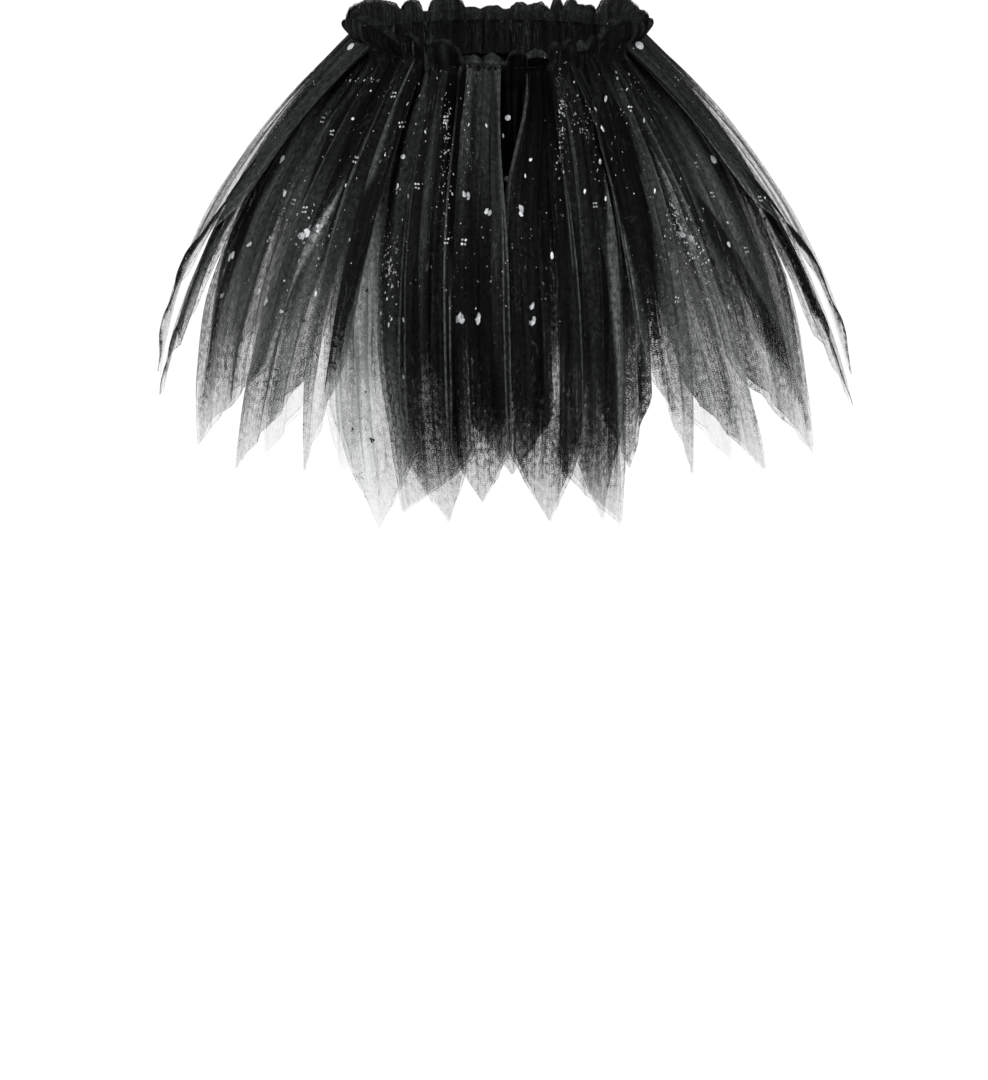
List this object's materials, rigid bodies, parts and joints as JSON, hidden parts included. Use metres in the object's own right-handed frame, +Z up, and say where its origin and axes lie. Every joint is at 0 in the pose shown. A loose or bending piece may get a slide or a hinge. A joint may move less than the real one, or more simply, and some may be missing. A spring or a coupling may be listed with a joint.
{
  "type": "ballet tutu",
  "caption": "Child's ballet tutu of layered black tulle petals with pointed hems, gathered onto a soft elastic waist, held in its worn shape.",
  "frame": {"origin": "middle of the waist opening, level with the middle of the elastic at the sides", "axes": "+Z up along the wearer, -Y the front of the skirt, +X the wearer's left"},
  "size_m": [0.5009, 0.4212, 0.3348],
  "materials": {
    "gathered_tulle": "black tulle gathered tight over elastic, nearly opaque, a soft sheen on the folds",
    "petal_tulle": "sheer black tulle, pale where one layer shows and near black where layers lie together",
    "foil_glitter": "small silver foil dots and flecks scattered on the tulle"
  },
  "bodies": {
    "root": {"waist_casing": "gathered_tulle", "header_frill": "gathered_tulle", "front_petal_01": "petal_tulle", "front_petal_02": "petal_tulle", "front_petal_03": "petal_tulle", "front_petal_04": "petal_tulle", "front_petal_05": "petal_tulle", "front_petal_06": "petal_tulle", "front_petal_07": "petal_tulle", "front_petal_08": "petal_tulle", "front_petal_09": "petal_tulle", "front_petal_10": "petal_tulle", "front_petal_11": "petal_tulle", "front_petal_12": "petal_tulle", "front_petal_13": "petal_tulle", "front_petal_14": "petal_tulle", "front_petal_15": "petal_tulle", "front_petal_16": "petal_tulle", "front_petal_17": "petal_tulle", "front_petal_18": "petal_tulle", "front_petal_19": "petal_tulle", "front_petal_20": "petal_tulle", "front_petal_21": "petal_tulle", "front_petal_22": "petal_tulle", "front_petal_23": "petal_tulle", "front_petal_24": "petal_tulle", "back_petal_01": "petal_tulle", "back_petal_02": "petal_tulle", "back_petal_03": "petal_tulle", "back_petal_04": "petal_tulle", "back_petal_05": "petal_tulle", "back_petal_06": "petal_tulle", "back_petal_07": "petal_tulle", "back_petal_08": "petal_tulle", "back_petal_09": "petal_tulle", "back_petal_10": "petal_tulle", "back_petal_11": "petal_tulle", "back_petal_12": "petal_tulle", "back_petal_13": "petal_tulle", "back_petal_14": "petal_tulle", "back_petal_15": "petal_tulle", "back_petal_16": "petal_tulle", "back_petal_17": "petal_tulle", "back_petal_18": "petal_tulle", "back_petal_19": "petal_tulle", "back_petal_20": "petal_tulle"}
  },
  "joints": []
}
